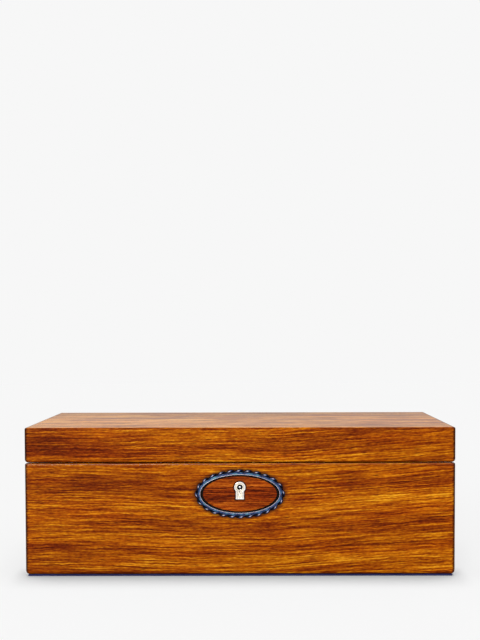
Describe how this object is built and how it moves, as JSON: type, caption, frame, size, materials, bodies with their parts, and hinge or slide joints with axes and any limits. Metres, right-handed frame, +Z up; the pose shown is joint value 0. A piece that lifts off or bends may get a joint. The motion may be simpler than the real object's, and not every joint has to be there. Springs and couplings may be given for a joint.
{
  "type": "musical jewelry box",
  "caption": "Wooden jewelry box with a hinged lid, box lock, blue oval keyhole ornament, velvet-lined compartments, ring rolls, lid mirror and a wind-up musical movement.",
  "frame": {"origin": "middle of the felt pad's underside, on the surface the box stands on", "axes": "+X to the right along the front, +Y from the front to the hinged back, +Z up"},
  "size_m": [0.3, 0.205, 0.104],
  "materials": {
    "case_wood": "lacquered golden-brown hardwood with fine horizontal grain",
    "panel_wood": "lacquered redder veneer",
    "plain_wood": "unstained wood",
    "inlay_line": "black inlaid line",
    "blue_enamel": "steel-blue gloss enamel on a rope-edged ring",
    "nickel": "polished nickel",
    "brass": "satin brass",
    "steel": "fine brushed steel",
    "zinc": "plated zinc casting",
    "velvet": "navy velvet",
    "base_felt": "navy felt",
    "mirror": "silvered glass",
    "clear_cover": "clear plate"
  },
  "bodies": {
    "case": {"felt_pad": "base_felt", "case_floor": "case_wood", "case_front": "case_wood", "case_back": "case_wood", "case_left": "case_wood", "case_right": "case_wood", "oval_ring": "blue_enamel", "oval_line": "inlay_line", "oval_panel": "panel_wood", "keyhole_escutcheon": "nickel", "lock_case": "nickel", "lock_pin": "steel", "lock_selvedge": "brass", "lining_front": "velvet", "lining_back": "velvet", "lining_left": "velvet", "lining_right": "velvet", "lining_floor": "velvet", "divider_long": "velvet", "divider_short": "velvet", "divider_movement": "velvet", "ring_riser": "velvet", "ring_roll_1": "velvet", "ring_roll_2": "velvet", "ring_roll_3": "velvet", "ring_roll_4": "velvet", "ring_roll_5": "velvet", "movement_block": "plain_wood", "movement_bed": "zinc", "barrel_bridge": "brass", "music_comb": "steel", "governor_bracket": "zinc", "movement_cover": "clear_cover", "cover_ledge_left": "velvet", "cover_ledge_right": "velvet", "hinge_case_leaf_left": "brass", "hinge_case_leaf_right": "brass", "hinge_pin_left": "steel", "hinge_pin_right": "steel"},
    "lid": {"lid_top": "case_wood", "lid_front": "case_wood", "lid_back": "case_wood", "lid_left": "case_wood", "lid_right": "case_wood", "lid_lining": "velvet", "mirror_frame": "case_wood", "lid_mirror": "mirror", "lock_strike": "brass", "hinge_lid_leaf_left": "brass", "hinge_lid_leaf_right": "brass"},
    "bolt": {"lock_bolt": "steel"},
    "plunger": {"stop_plunger": "brass"},
    "cylinder": {"music_cylinder": "brass"},
    "barrel": {"spring_barrel": "brass"},
    "idler": {"idler_wheel": "brass"},
    "fly": {"governor_fly": "steel"},
    "key": {"winding_arbor": "steel", "winding_key": "brass"}
  },
  "joints": [
    {"name": "lid_hinge", "type": "hinge", "parent": "case", "child": "lid", "pos_m": [0, 0.1021, 0.0794], "axis": [-1, 0, 0], "range_deg": [0, 100]},
    {"name": "bolt_slide", "type": "slide", "parent": "case", "child": "bolt", "axis": [1, 0, 0], "range_m": [0, 0.004]},
    {"name": "stop_plunger_slide", "type": "slide", "parent": "case", "child": "plunger", "axis": [0, 0, 1], "range_m": [0, 0.0025]},
    {"name": "cylinder_spin", "type": "hinge", "parent": "case", "child": "cylinder", "pos_m": [0.1096, 0.04872, 0.0346], "axis": [1, 0, 0], "continuous": true},
    {"name": "barrel_spin", "type": "hinge", "parent": "case", "child": "barrel", "pos_m": [0.0892, 0.04872, 0.025], "axis": [0, 0, 1], "continuous": true},
    {"name": "idler_spin", "type": "hinge", "parent": "case", "child": "idler", "pos_m": [0.1235, 0.05832, 0.0346], "axis": [1, 0, 0], "continuous": true},
    {"name": "fly_spin", "type": "hinge", "parent": "case", "child": "fly", "pos_m": [0.1249, 0.0659, 0.0346], "axis": [0, 0, 1], "continuous": true},
    {"name": "winding_key_turn", "type": "hinge", "parent": "case", "child": "key", "pos_m": [0.0892, 0.04872, 0.01], "axis": [0, 0, 1], "continuous": true}
  ],
  "couplings": [
    {"joint": "stop_plunger_slide", "follows": "lid_hinge", "m_per_rad": 0.001432},
    {"joint": "barrel_spin", "follows": "cylinder_spin", "ratio": 0.5},
    {"joint": "idler_spin", "follows": "cylinder_spin", "ratio": -4.3333},
    {"joint": "fly_spin", "follows": "cylinder_spin", "ratio": -78}
  ]
}
